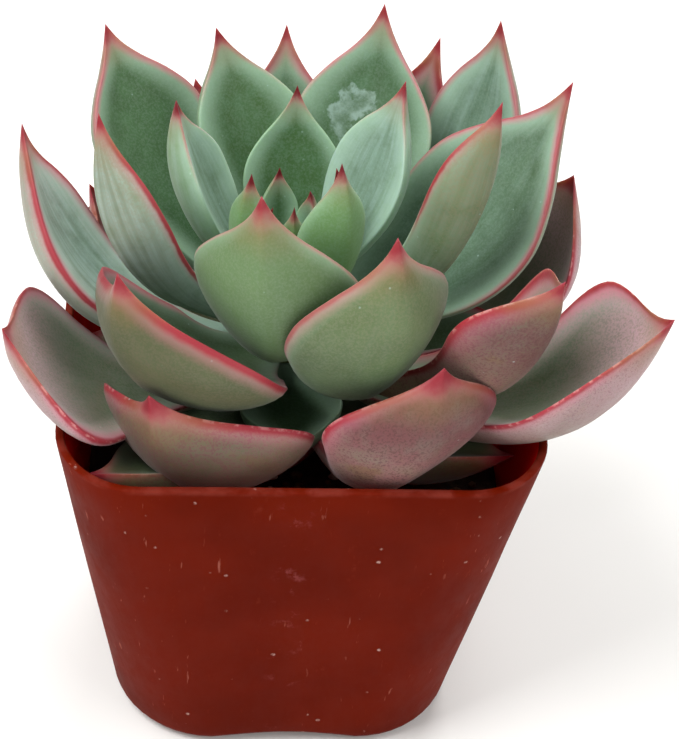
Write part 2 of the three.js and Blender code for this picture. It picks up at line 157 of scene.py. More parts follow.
# One row a leaf, oldest first. Words for the shape, which the part shares:
# azimuth, reach and height: where the tip is, from the plant's axis and the ground
# width: the greatest; bow: degrees that the midrib bends; roll: degrees that the blade turns
# cup: how far the margins stand up; sway: how far the middle bends aside
# belly: above 1, widest nearer the tip; plump: thickness against that of other leaves
# Words for the finish:
# blush: how pink the underside is; shade: how dark the leaf is, from dryness and partly painted
# shade
# red: share of the length, from the tip, along which the margin is red
# wax: how thick its pale bloom is; smear: where, along and across, the bloom is rubbed
LEAVES = [
    dict(azimuth=-44, reach=35.5, height=51.5, width=14, bow=10, roll=10, sway=5,
         blush=0.8, shade=0.8, red=0.25),
    dict(azimuth=86, reach=31, height=58, width=17, bow=40, blush=0.5, shade=0.5, red=0.6),
    dict(azimuth=-134, reach=34, height=58, width=17, bow=40, blush=0.5, shade=0.5, red=0.6),
    dict(azimuth=3, reach=16, height=45, width=9, bow=0, blush=0.1, shade=0.9, red=0.1),
    dict(azimuth=140, reach=35, height=60, width=17, bow=40, blush=0.5, shade=0.4, red=0.6),
    dict(azimuth=-82, reach=26, height=55, width=15, bow=20, blush=0.3, shade=0.6, red=0.4),
    dict(azimuth=55, reach=34.5, height=50, width=17, bow=10, roll=-15, sway=-5,
         blush=0.8, shade=0.8, red=0.25),
    dict(azimuth=-168, reach=36, height=68, width=17, bow=35, blush=0.6, shade=0.3, red=0.7),
    dict(azimuth=-35, reach=30, height=63.5, width=28, bow=100,
         roll=12, cup=0.4, sway=3, belly=1.05, plump=1.1, blush=0.78, shade=0, red=1, wax=0),
    dict(azimuth=102, reach=37, height=73.5, width=21.5, bow=100,
         roll=14, cup=0.45, sway=-0.5, belly=1.9, blush=0.9, shade=0.2, red=1, wax=0.15),
    dict(azimuth=-119, reach=29.5, height=65.5, width=17, bow=60, blush=0.9, shade=0.7, red=0.8),
    dict(azimuth=31, reach=32, height=71, width=21.5, bow=112,
         roll=-15, cup=0.18, sway=-3, belly=2, plump=1.05, blush=1, shade=0, red=1, wax=0),
    dict(azimuth=147, reach=38, height=78.5, width=17, bow=60, blush=0.8, shade=0, red=0.8),
    dict(azimuth=-62, reach=39, height=68, width=24.5, bow=75, roll=-13, cup=0.17, belly=1.8,
         blush=0.85, shade=0.2, red=0.95, wax=0.15),
    dict(azimuth=63, reach=49, height=74.5, width=23.5, bow=74,
         roll=6, cup=0.5, sway=-3.5, belly=2.1, blush=0.85, shade=0.35, red=0.95, wax=0.15),
    dict(azimuth=-156, reach=30, height=73.7, width=20, bow=35, blush=0.8, shade=0, red=0.8),
    dict(azimuth=3, reach=21, height=51, width=13, bow=20, blush=0, shade=0.25, red=0),
    dict(azimuth=130, reach=35, height=87, width=15.5, bow=80, cup=0.18, sway=-2, belly=1.35,
         blush=0.25, shade=0, red=0.75, wax=0.5),
    dict(azimuth=-103.5, reach=34.5, height=79, width=14.5, bow=52,
         roll=6, cup=0.21, sway=7.5, belly=1.25, blush=0.6, shade=0, red=0.9, wax=0.8),
    dict(azimuth=49.5, reach=38.5, height=82, width=15, bow=71,
         roll=-6, cup=0.68, sway=-0.7, belly=2.3, blush=0.85, shade=0, red=0.95, wax=0),
    dict(azimuth=180, reach=34, height=78.5, width=15.5, bow=60, blush=0.3, shade=0, red=0.6),
    dict(azimuth=-45.5, reach=29.3, height=78.3, width=29, bow=84, sway=1.5, belly=0.88,
         blush=0.62, shade=0.5, red=0.95, wax=0.05),
    dict(azimuth=100.5, reach=34.3, height=88.4, width=23, bow=38,
         roll=17, cup=0.2, sway=-2.4, belly=0.87, blush=0.35, shade=0.1, red=0.7, wax=0.25),
    dict(azimuth=-136.5, reach=34.8, height=83, width=19.5, bow=35,
         roll=6, cup=0.3, sway=1.6, belly=1.2, blush=0.2, shade=0.15, red=0.6, wax=0),
    dict(azimuth=24, reach=25, height=86, width=21, bow=100, sway=-0.5, belly=1.25,
         blush=0.33, shade=0.1, red=0.8, wax=0.1),
    dict(azimuth=156, reach=30, height=86, width=19, bow=50, sway=-1.5,
         blush=0.1, shade=0.12, red=0.45, smear=(0.65, 0.26)),
    dict(azimuth=-78, reach=24, height=89.5, width=9.5, bow=48, roll=22, sway=2.8, belly=1.4,
         blush=0.5, shade=0, red=0.8, wax=0.95),
    dict(azimuth=73.5, reach=23.8, height=93.7, width=8.6, bow=38,
         roll=-33, cup=0.4, sway=-3.5, belly=2.1, blush=0.5, shade=0, red=0.5, wax=0.35),
    dict(azimuth=-156, reach=24, height=85, width=15, bow=45, sway=-2.4, belly=1.1,
         blush=0.2, shade=0, red=0.3),
    dict(azimuth=-15, reach=19, height=88, width=20, bow=95, sway=2, belly=1.15,
         blush=0.14, shade=0.18, red=0.5, wax=0.1),
    dict(azimuth=122.5, reach=16, height=86.3, width=12.3, bow=13, roll=3, cup=0.27, sway=-1.2,
         blush=0.05, red=0.3, wax=0.7),
    dict(azimuth=-103, reach=15, height=86, width=11, bow=30, blush=0.1, red=0.35, wax=0.6),
    dict(azimuth=28, reach=10, height=86, width=9, bow=50, belly=1.1, blush=0, red=0.25),
    dict(azimuth=178, reach=12, height=83, width=13, bow=40, belly=0.85, blush=0, red=0.2),
    dict(azimuth=-44, reach=8, height=82, width=8, bow=40, blush=0, red=0.25),
    dict(azimuth=75, reach=5, height=80, width=5, bow=30, blush=0, red=0.25),
    dict(azimuth=-158, reach=4.5, height=76, width=5, bow=30, blush=0, red=0.25),
    dict(azimuth=-2, reach=4, height=76, width=4, bow=30, blush=0, red=0.25),
    dict(azimuth=135, reach=3, height=74, width=3.5, bow=30, blush=0, red=0.3),
    dict(azimuth=-87, reach=2.5, height=73, width=3, bow=30, blush=0, red=0.3),
]
LEAF_DEFAULTS = dict(
    roll=0, cup=0.35, sway=0, belly=1, plump=1, blush=0.2, shade=0, red=0.5, wax=0.06, smear=None,
)
LEAF_MARKS = ("leaf_place", "leaf_size", "leaf_tint", "leaf_wax")
SMEAR_REACH = 0.6
SMEAR_SHORTER = 4


def clamp(value, low=0, high=1):
    return max(low, min(high, value))


def lerp(start, end, share):
    return start + (end - start) * share


def through(points, place):
    """A smooth curve through a list of (place, value) points."""
    last = len(points) - 1

    def slope(i):
        return (points[i + 1][1] - points[i][1]) / (points[i + 1][0] - points[i][0])

    def tangent(i):
        if i == 0:
            return slope(0)
        if i == last:
            return slope(last - 1)
        before = points[i][0] - points[i - 1][0]
        after = points[i + 1][0] - points[i][0]
        return (slope(i) * before + slope(i - 1) * after) / (before + after)

    i = 0
    while i < last - 1 and place >= points[i + 1][0]:
        i += 1
    span = points[i + 1][0] - points[i][0]
    t = (place - points[i][0]) / span
    start = (2 * t**3 - 3 * t**2 + 1) * points[i][1] + (t**3 - 2 * t**2 + t) * span * tangent(i)
    end = (3 * t**2 - 2 * t**3) * points[i + 1][1] + (t**3 - t**2) * span * tangent(i + 1)
    return start + end


def rolled_skin(rows, columns, point, marks=()):
    """A sheet of rows and columns, rolled up and closed. point(row, column) gives a place in
    millimetres and, after it, a value for each of the vertex layers named in marks."""
    shape = bmesh.new()
    bmesh.ops.create_grid(shape, x_segments=columns, y_segments=rows, size=0.5)
    layers = [shape.verts.layers.float_vector.new(mark) for mark in marks]
    for vertex in shape.verts:
        column = round((vertex.co.x + 0.5) * columns)
        row = round((vertex.co.y + 0.5) * rows)
        place, *values = point(row, column % columns)
        vertex.co = place * MM + POT_AXIS
        for layer, value in zip(layers, values):
            vertex[layer] = value
    bmesh.ops.remove_doubles(shape, verts=shape.verts, dist=WELD * MM)
    bmesh.ops.recalc_face_normals(shape, faces=shape.faces)
    return shape


def placed(name, shape):
    """The mesh becomes an object of the scene."""
    data = bpy.data.meshes.new(name)
    shape.to_mesh(data)
    shape.free()
    made = bpy.data.objects.new(name, data)
    bpy.context.scene.collection.objects.link(made)
    return made


def finished(name, shape, material, node=None):
    """The mesh becomes a smooth piece, which may stand for a node of the part."""
    piece = placed(name, shape)
    for face in piece.data.polygons:
        face.use_smooth = True
    piece.data.materials.append(material)
    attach(piece, "root")
    if node:
        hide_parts(node)
    return piece


# Finishes

class Finish:
    """A material made of nodes. Most methods add a node and return its output."""

    def __init__(self, name, **sockets):
        self.material = bpy.data.materials.new(name)
        self.material.use_nodes = True
        self.tree = self.material.node_tree
        self.shader = self.tree.nodes["Principled BSDF"]
        for socket, value in sockets.items():
            self.shader.inputs[socket.replace("_", " ")].default_value = value
        self.place = self.add("TexCoord").outputs["Object"]

    def add(self, kind, **settings):
        node = self.tree.nodes.new("ShaderNode" + kind)
        for setting, value in settings.items():
            setattr(node, setting, value)
        return node

    def feed(self, socket, value):
        if isinstance(value, bpy.types.NodeSocket):
            self.tree.links.new(value, socket)
        else:
            socket.default_value = value

    def calc(self, operation, first, second=0.0):
        node = self.add("Math", operation=operation)
        self.feed(node.inputs[0], first)
        self.feed(node.inputs[1], second)
        return node.outputs[0]

    def times(self, *values):
        result = values[0]
        for value in values[1:]:
            result = self.calc("MULTIPLY", result, value)
        return result

    def band(self, value, low, high, start=0.0, end=1.0):
        """Goes smoothly from start, where value is low, to end, where it is high."""
        node = self.add("MapRange", interpolation_type="SMOOTHSTEP")
        for socket, number in zip(node.inputs, (value, low, high, start, end)):
            self.feed(socket, number)
        return node.outputs[0]

    def mix(self, share, first, second):
        node = self.add("Mix", data_type="RGBA")
        self.feed(node.inputs[0], share)
        self.feed(node.inputs[6], first)
        self.feed(node.inputs[7], second)
        return node.outputs[2]

    def stretched(self, x, y, z):
        node = self.add("Mapping")
        self.feed(node.inputs["Vector"], self.place)
        node.inputs["Scale"].default_value = (x, y, z)
        return node.outputs[0]

    def noise(self, size, detail, roughness=0.5, place=None):
        """Cloudy noise with features about size millimetres across."""
        node = self.add("TexNoise")
        self.feed(node.inputs["Vector"], place or self.place)
        node.inputs["Scale"].default_value = 1 / (size * MM)
        node.inputs["Detail"].default_value = detail
        node.inputs["Roughness"].default_value = roughness
        return node.outputs["Fac"]

    def cells(self, size):
        """Distance from the middle of scattered cells about size millimetres apart."""
        node = self.add("TexVoronoi")
        self.feed(node.inputs["Vector"], self.place)
        node.inputs["Scale"].default_value = 1 / (size * MM)
        return node.outputs["Distance"]

    def joined(self, x, y, z):
        node = self.add("CombineXYZ")
        for socket, value in zip(node.inputs, (x, y, z)):
            self.feed(socket, value)
        return node.outputs[0]

    def parts(self, vector):
        node = self.add("SeparateXYZ")
        self.feed(node.inputs[0], vector)
        return node.outputs

    def attribute(self, name):
        return self.parts(self.add("Attribute", attribute_name=name).outputs["Vector"])

    def bump(self, height, depth, under=None):
        """Relief of a depth in millimetres."""
        node = self.add("Bump")
        node.inputs["Distance"].default_value = depth * MM
        self.feed(node.inputs["Height"], height)
        if under:
            self.feed(node.inputs["Normal"], under)
        return node.outputs[0]

    def finish(self, colour, roughness, normal=None):
        self.feed(self.shader.inputs["Base Color"], colour)
        self.feed(self.shader.inputs["Roughness"], roughness)
        if normal:
            self.feed(self.shader.inputs["Normal"], normal)
        return self.material


def rgb(red, green, blue):
    """A colour from the 0 to 255 values that a screen shows."""
    return (*((c / 12.92 if c <= 0.04045 else ((c + 0.055) / 1.055) ** 2.4)
              for c in (red / 255, green / 255, blue / 255)), 1)


# Flesh
UPPER_DEEP = rgb(50, 84, 48)
UPPER_SOFT = rgb(76, 118, 78)
HEART_DEEP = rgb(56, 88, 32)
HEART_SOFT = rgb(108, 146, 88)
UNDER_DEEP = rgb(60, 88, 48)
UNDER_SOFT = rgb(84, 118, 72)
BLOOM = rgb(180, 206, 200)
# Pale rim: partly the margin's own colour, partly a painted highlight where light grazes the edge
PALE_RIM_AND_HIGHLIGHT = rgb(162, 196, 168)
# Dark olive of dry leaves, partly painted shade on leaves low in the pot
DRY_AND_SHADE = rgb(60, 64, 36)

# Blush
MAUVE = rgb(204, 166, 172)
PINK = rgb(104, 80, 76)
# Pale pinks near the root: partly the flesh's own paler base, partly painted light on shaded lower
# parts
PALE_FLUSH_AND_PAINTED_LIGHT = rgb(196, 168, 144)
ROSE = rgb(108, 54, 62)
ROSE_FLUSH_AND_PAINTED_LIGHT = rgb(210, 154, 154)
BROWN = rgb(84, 50, 46)
TAN = rgb(122, 96, 58)
OLIVE = rgb(130, 104, 62)

# Margin and tip
BLUSH_RIM = rgb(192, 100, 122)
RED = rgb(146, 24, 42)
CRIMSON = rgb(92, 6, 22)
# Pale marks on the margin's crest: partly worn wax, partly a painted highlight
PALE_CREST_AND_HIGHLIGHT = rgb(222, 172, 168)
# Tints of a leaf's tip: full until, gone at (shares of the tip's length), strength on a young
# and on a grown leaf, colour
TIP_TINTS = [
    (0.5, 1.8, 0.4, 0.55, OLIVE), (0.3, 1.1, 0.5, 0.4, BLUSH_RIM),
    (0.25, 0.8, 0.9, 0.9, RED), (0.2, 0.75, 0.95, 0.35, CRIMSON),
]

# Places of the leaves in their row between which the colours of the heart set in
UPPER_HEART = (22, 30)
UNDER_HEART = (26, 33)

# Thickness of bloom between which a leaf comes to count as a waxy one
WAXY = (0.07, 0.15)

# Millimetres: of the pale rim and the tip on the youngest and on a grown leaf, and of the red
# margin where it begins and near the tip
RIM_WIDTHS = (2.4, 4.6)
TIP_LENGTHS = (2.4, 3.7)
MARGIN_WIDTHS = (0.4, 1.1)

# Sizes of the marks on a leaf in millimetres, and how many streaks lie along and across it
CLOUD_SIZE = 11
PATCH_SIZE = 6
WOBBLE_SIZE = 3
MOTTLE_SIZE = 2.6
SPECK_SPACING = 2.6
DIMPLE_SIZE = 1.4
CREST_MARK_SIZE = 1.3
GRAIN_SIZE = 0.32
STREAKS_ALONG = 1.6
STREAKS_ACROSS = 7


class LeafFlesh(Finish):
    """The finish of every leaf. Marks on the mesh tell where on a leaf a point is and how the
    leaf is coloured. Each method after green lays a layer over the colour that it is given."""

    def __init__(self):
        super().__init__(
            "leaf flesh", Specular_IOR_Level=0.28, Subsurface_Weight=0.2,
            Subsurface_Radius=(1.0, 1.0, 0.5), Subsurface_Scale=2 * MM,
            Sheen_Weight=0.12, Sheen_Roughness=0.4,
        )
        self.along, self.across, self.face = self.attribute("leaf_place")
        self.edge, self.tip, self.size = self.attribute("leaf_size")
        self.blush, self.shade, self.red = self.attribute("leaf_tint")
        self.wax, self.smear, self.index = self.attribute("leaf_wax")
        self.cloud = self.noise(CLOUD_SIZE, 3)
        self.mottle = self.noise(MOTTLE_SIZE, 5, 0.6)
        self.grain = self.noise(GRAIN_SIZE, 2, 0.7)
        self.wobble = self.calc("SUBTRACT", self.noise(WOBBLE_SIZE, 4, 0.6), 0.5)
        self.speckle = self.band(self.grain, 0.35, 0.65, 0.6, 1.12)
        self.above = self.band(self.face, -0.1, 0.3)
        self.below = self.band(self.face, -0.25, 0.35, 1.0, 0.22)
        self.rim = self.calc("ADD", self.edge, self.times(self.wobble, 0.5))
        self.deep_blush = self.times(self.band(self.blush, 0.6, 0.95), self.below)

    def green(self):
        """Green flesh, darker above than below and paler towards the margin, partly the margin's
        own pale colour and partly a painted highlight where light grazes the edge.
        """
        deep = self.mix(self.band(self.index, *UPPER_HEART), UPPER_DEEP, HEART_DEEP)
        upper = self.mix(self.band(self.mottle, 0.2, 0.9, 0.1, 0.65), deep, UPPER_SOFT)
        under = self.mix(self.band(self.cloud, 0.3, 0.7), UNDER_DEEP, UNDER_SOFT)
        under = self.mix(self.band(self.index, *UNDER_HEART), under, HEART_SOFT)
        colour = self.mix(self.above, under, upper)
        # Paler towards the margin: partly the margin's own colour, partly a painted highlight
        width = self.band(self.size, 0.4, 1.0, *RIM_WIDTHS)
        width = self.times(width, self.band(self.above, 0, 1, 0.45, 1))
        pale_rim_and_highlight = self.band(self.calc("DIVIDE", self.rim, width), 0.05, 1.0, 1.0, 0.0)
        pale_rim_and_highlight = self.times(pale_rim_and_highlight, self.band(self.above, 0.0, 1.0, 0.4, 0.75))
        return self.mix(pale_rim_and_highlight, colour, PALE_RIM_AND_HIGHLIGHT)

    def bloom(self, colour):
        """Bloom of wax, in thin streaks along the leaf and in fine grains, and wiped marks."""
        place = self.joined(
            self.times(self.across, STREAKS_ACROSS * MM),
            self.times(self.along, STREAKS_ALONG * MM),
            self.times(self.index, MM),
        )
        streaks = self.band(self.noise(1, 4, 0.6, place), 0.3, 0.7, 0.5, 1.0)
        bloom = self.times(self.wax, streaks, self.band(self.mottle, 0.1, 0.6, 0.4, 1.0), 0.7)
        colour = self.mix(bloom, colour, BLOOM)
        colour = self.mix(self.band(self.grain, 0.4, 0.65, 0.0, 0.08), colour, BLOOM)
        ragged = self.calc("ADD", self.smear, self.times(self.wobble, 1.4))
        wiped = self.times(self.band(ragged, 0.45, 0.6), self.band(self.mottle, 0.3, 0.6, 0.2, 1.0))
        return self.mix(self.times(wiped, 0.5), colour, BLOOM)

    def flush(self, colour):
        """Pink of the underside, speckled, deeper towards the tip and paler towards the root, where
        the paleness is partly painted light, with a few tan patches.
        """
        tipward = self.band(self.blush, 0.5, 0.85, 0.05, 0.6)
        tipward = self.band(self.along, 0.25, 0.95, tipward, 1.0)
        clouded = self.band(self.cloud, 0.25, 0.6, 0.7, 1.0)
        flush = self.times(self.blush, tipward, self.below, self.speckle, clouded)
        flush = self.times(flush, self.band(self.blush, 0.6, 0.95, 1.0, 1.6))
        rosy = self.band(self.blush, 0.75, 1.0, 0.5, 1.0)
        rosy = self.times(self.band(self.mottle, 0.2, 0.65), rosy)
        # Paler towards the root: partly the leaf's own colour, partly painted light where shade
        # falls low on the leaf
        pale = self.mix(rosy, PALE_FLUSH_AND_PAINTED_LIGHT, ROSE_FLUSH_AND_PAINTED_LIGHT)
        pink = self.mix(self.band(self.along, 0.4, 0.85), pale, self.mix(rosy, PINK, ROSE))
        pink = self.mix(self.band(self.blush, 0.45, 0.8), OLIVE, pink)
        colour = self.mix(self.calc("MINIMUM", flush, 0.92), colour, pink)
        patch = self.band(self.noise(PATCH_SIZE, 5, 0.6), 0.56, 0.66)
        return self.mix(self.times(patch, self.deep_blush, 0.5), colour, TAN)

    def dryness_and_shade(self, colour):
        """Dark, dry leaves low in the pot, darkened partly for dryness and partly as painted shade.
        """
        dryness_and_shade = self.times(self.shade, self.band(self.cloud, 0.2, 0.7, 0.75, 1.0))
        return self.mix(self.calc("MINIMUM", dryness_and_shade, 0.9), colour, DRY_AND_SHADE)

    def glow(self, colour):
        """Mauve glow of the waxy outer leaves near the margin and the tip, and brown freckles."""
        glow = self.times(self.band(self.rim, 0.5, 5.0, 0.75, 0.0), self.band(self.along, 0.2, 0.8))
        glow = self.calc("MAXIMUM", glow, self.band(self.along, 0.6, 0.95, 0.0, 0.8))
        glow = self.times(glow, self.band(self.blush, 0.5, 0.8))
        glow = self.times(glow, self.band(self.wax, *WAXY), self.speckle)
        colour = self.mix(glow, colour, MAUVE)
        freckles = self.times(self.band(self.grain, 0.47, 0.62), self.deep_blush, 0.65)
        return self.mix(freckles, colour, BROWN)

    def margin(self, colour):
        """Red margin as far down the leaf as its own red says, with pale marks on its crest, partly
        worn wax and partly a painted highlight.
        """
        reached = self.calc("SUBTRACT", self.calc("ADD", self.along, self.red), 1.0)
        there = self.calc("ADD", reached, self.times(self.wobble, 0.15))
        there = self.band(there, 0.0, 0.25)
        width = self.times(
            self.band(reached, 0.0, 0.9, *MARGIN_WIDTHS),
            self.band(self.blush, 0.1, 0.5, 0.55, 1.0),
            self.band(self.wax, *WAXY, 1.0, 0.65),
            self.band(self.above, 0.0, 1.0, 1.0, 1.5),
        )
        share = self.calc("DIVIDE", self.rim, width)
        halo = self.band(self.above, 0.0, 1.0, 0.38, 0.7)
        halo = self.times(self.band(share, 0.5, 2.5, 1.0, 0.0), halo, there)
        colour = self.mix(halo, colour, BLUSH_RIM)
        there = self.times(there, self.band(self.blush, 0.15, 0.5, 0.35, 1.0))
        colour = self.mix(self.times(self.band(share, 0.35, 1.15, 0.9, 0.0), there), colour, RED)
        # Pale broken line on the crest: partly worn wax, partly a painted highlight
        crest_wear_and_highlight = self.times(
            self.band(self.edge, 0.05, 0.4, 1.0, 0.0), self.band(self.blush, 0.6, 0.85), there,
            self.band(self.noise(CREST_MARK_SIZE, 4, 0.6), 0.5, 0.6), 0.35,
        )
        return self.mix(crest_wear_and_highlight, colour, PALE_CREST_AND_HIGHLIGHT)

    def point(self, colour):
        """Red tip, crimson at the very point."""
        length = self.band(self.size, 0.2, 1.0, *TIP_LENGTHS)
        share = self.calc("ADD", self.tip, self.times(self.wobble, 2.0))
        share = self.calc("DIVIDE", share, length)
        for near, far, young, grown, tint in TIP_TINTS:
            tinted = self.times(
                self.band(share, near, far, 1.0, 0.0), self.band(self.red, 0, 0.1),
                self.band(self.size, 0.75, 0.93, young, grown),
            )
            colour = self.mix(tinted, colour, tint)
        return colour

    def specks(self, colour):
        """Pale specks that dried drops have left."""
        specks = self.band(self.cells(SPECK_SPACING), 0.03, 0.07, 1.0, 0.0)
        specks = self.times(specks, self.band(self.cloud, 0.42, 0.6), 0.55)
        return self.mix(specks, colour, BLOOM)

    def made(self):
        colour = self.flush(self.bloom(self.green()))
        colour = self.glow(self.dryness_and_shade(colour))
        colour = self.specks(self.point(self.margin(colour)))
        roughness = self.band(self.mottle, 0.2, 0.8, 0.4, 0.58)
        relief = self.bump(self.noise(DIMPLE_SIZE, 4, 0.6), 0.05)
        return self.finish(colour, roughness, self.bump(self.grain, 0.015, relief))


# Plastic of the pot
PLASTIC_DEEP = rgb(88, 15, 0)
PLASTIC_SOFT = rgb(99, 20, 2)
PLASTIC_DUST = rgb(150, 72, 56)
PLASTIC_SCRATCH = rgb(196, 122, 104)
PLASTIC_SPECK = rgb(206, 168, 156)
PLASTIC_RUBBED = rgb(150, 76, 76)
# Paler lip: worn plastic and a painted highlight along the rim
PLASTIC_LIP_WEAR_AND_HIGHLIGHT = rgb(150, 72, 62)
# Painted light: the bright red painted on the inside, where light shines through the wall
PLASTIC_PAINTED_GLOW = rgb(200, 12, 8)

# Sizes of the marks on the pot in millimetres
CAST_SIZE = 16
WARP_SIZE = 9
PLASTIC_SPECKS = 3.4
LIP_SIZE = 3
RUB_SIZE = 3
DUST_SIZE = 2.4
SCRATCH_SIZE = 0.7
UPRIGHT = (1, 1, 0.45)
VERY_UPRIGHT = (1, 1, 0.05)

# Millimetres: how far right of the pot's axis the rubbed marks lie, how far they reach to a side
# and behind it, from where to where below the rim the lip turns pale with wear and a painted
# highlight, and between which distances from the axis, negative where a wall faces it, the inside
# begins to be painted with the light that shines through the wall
RUBBED_AT = -1
RUBBED_ASIDE = 3
RUBBED_BEHIND = 10
LIP_BAND = (0.9, 0.2)
INSIDE_BAND = (-12, -6)


def outwardness(finish):
    """Distance from the pot's axis in the direction that the surface faces, below 0 inside."""
    outward = finish.add("VectorMath", operation="SUBTRACT")
    finish.feed(outward.inputs[0], finish.place)
    outward.inputs[1].default_value = (POT_AXIS.x, POT_AXIS.y, 0)
    facing = finish.add("VectorMath", operation="DOT_PRODUCT")
    finish.feed(facing.inputs[0], outward.outputs[0])
    finish.feed(facing.inputs[1], finish.add("NewGeometry").outputs["Normal"])
    return facing.outputs["Value"]


def pot_finish():
    pot = Finish(
        "pot plastic", Specular_IOR_Level=0.03, Subsurface_Weight=0.15,
        Subsurface_Radius=(1.0, 0.2, 0.1), Subsurface_Scale=2 * MM,
    )
    x, y, z = pot.parts(pot.place)
    cast = pot.noise(CAST_SIZE, 4)
    colour = pot.mix(pot.band(cast, 0.3, 0.7), PLASTIC_DEEP, PLASTIC_SOFT)

    # Dust, upright scratches and pale specks
    dust = pot.noise(DUST_SIZE, 6, 0.72, pot.stretched(*UPRIGHT))
    colour = pot.mix(pot.band(dust, 0.6, 0.78, 0.0, 0.2), colour, PLASTIC_DUST)
    scratches = pot.noise(SCRATCH_SIZE, 3, 0.6, pot.stretched(*VERY_UPRIGHT))
    worn = pot.times(pot.band(scratches, 0.66, 0.74), pot.band(cast, 0.45, 0.6), 0.35)
    colour = pot.mix(worn, colour, PLASTIC_SCRATCH)
    specks = pot.band(pot.cells(PLASTIC_SPECKS), 0.05, 0.11, 1.0, 0.0)
    specks = pot.times(specks, pot.band(dust, 0.48, 0.6), 0.6)
    colour = pot.mix(specks, colour, PLASTIC_SPECK)

    # Rubbed marks down the middle of the front, and a paler lip, partly worn and partly a painted
    # highlight
    aside = pot.calc("ABSOLUTE", pot.calc("SUBTRACT", x, POT_AXIS.x + RUBBED_AT * MM))
    rubbed = pot.times(
        pot.band(aside, 0, RUBBED_ASIDE * MM, 1.0, 0.0),
        pot.band(y, 0, RUBBED_BEHIND * MM, 1.0, 0.0),
        pot.band(pot.noise(RUB_SIZE, 5, 0.7), 0.54, 0.7), 0.45,
    )
    colour = pot.mix(rubbed, colour, PLASTIC_RUBBED)
    lip_wear_and_highlight = pot.band(z, *((POT_HEIGHT - below) * MM for below in LIP_BAND))
    lip_wear_and_highlight = pot.times(lip_wear_and_highlight, pot.band(pot.noise(LIP_SIZE, 4), 0.35, 0.65, 0.0, 0.25))
    colour = pot.mix(lip_wear_and_highlight, colour, PLASTIC_LIP_WEAR_AND_HIGHLIGHT)

    # Painted light: the inside is painted a brighter red, standing in for light that shines through
    # the thin wall
    painted_glow_inside = pot.band(outwardness(pot), *(far * MM for far in INSIDE_BAND), 1.0, 0.0)
    colour = pot.mix(painted_glow_inside, colour, PLASTIC_PAINTED_GLOW)
    roughness = pot.band(dust, 0.3, 0.8, 0.5, 0.68)
    relief = pot.bump(pot.noise(WARP_SIZE, 3), 0.12)
    return pot.finish(colour, roughness, pot.bump(scratches, 0.02, relief))


def soil_finish(name, dark, pale):
    soil = Finish(name, Specular_IOR_Level=0.25)
    tone = soil.noise(1.1, 6, 0.7)
    colour = soil.mix(soil.band(tone, 0.3, 0.7), dark, pale)
    relief = soil.bump(soil.noise(0.6, 5, 0.7), 0.25)
    return soil.finish(colour, soil.band(tone, 0.2, 0.8, 0.8, 0.98), relief)


def stem_finish():
    stem = Finish("stem", Specular_IOR_Level=0.3)
    tone = stem.noise(1.6, 5, 0.6)
    colour = stem.mix(stem.band(tone, 0.35, 0.65), rgb(84, 74, 48), rgb(122, 134, 86))
    return stem.finish(colour, stem.band(tone, 0.3, 0.7, 0.6, 0.8), stem.bump(tone, 0.15))


# Pot and soil: rings of a rounded square, as (inset from outer wall, height, share of the arch)

def pot_half(height):
    return lerp(POT_BOTTOM_HALF, POT_TOP_HALF, height / POT_HEIGHT)


def pot_corner(height):
    return lerp(POT_BOTTOM_CORNER, POT_TOP_CORNER, height / POT_HEIGHT)


def rounded_square(step, half, corner):
    """A point of the outline, and how far the arch lifts it, 1 in the middle of a side."""
    side, k = divmod(step, CORNER_STEPS + SIDE_STEPS)
    straight = half - corner
    lift = 0
    if k <= CORNER_STEPS:
        angle = math.radians(90 * k / CORNER_STEPS)
        point = Vector((straight + corner * math.cos(angle), straight + corner * math.sin(angle)))
    else:
        along = (k - CORNER_STEPS) / SIDE_STEPS
        point = Vector((lerp(straight, -straight, along), half))
        lift = math.sin(math.pi * along)
    point.rotate(Matrix.Rotation(math.radians(90 * side), 2))
    return point, lift


def square_skin(profile, relief):
    """A skin over the rings of a profile. A ring without an inset is a single point."""
    columns = 4 * (CORNER_STEPS + SIDE_STEPS)

    def point(row, column):
        inset, height, lifted = profile[row]
        if inset is None:
            return (Vector((0, 0, height)),)
        corner = max(pot_corner(height) - inset, 1)
        place, lift = rounded_square(column, pot_half(height) - inset, corner)
        place = Vector((place.x, place.y, height + lifted * ARCH_RISE * lift))
        return (place + relief(place),)

    return rolled_skin(len(profile) - 1, columns, point)


def floor_curve(inset, bottom):
    return [(inset + x, bottom + z, 0) for x, z in FLOOR_CURVE]


def pot_waver(place):
    """Thin moulded walls are never quite flat."""
    sideways = Vector((place.x, place.y, 0)).normalized()
    return sideways * POT_WAVER * noise.noise(place / POT_WAVER_SPAN)


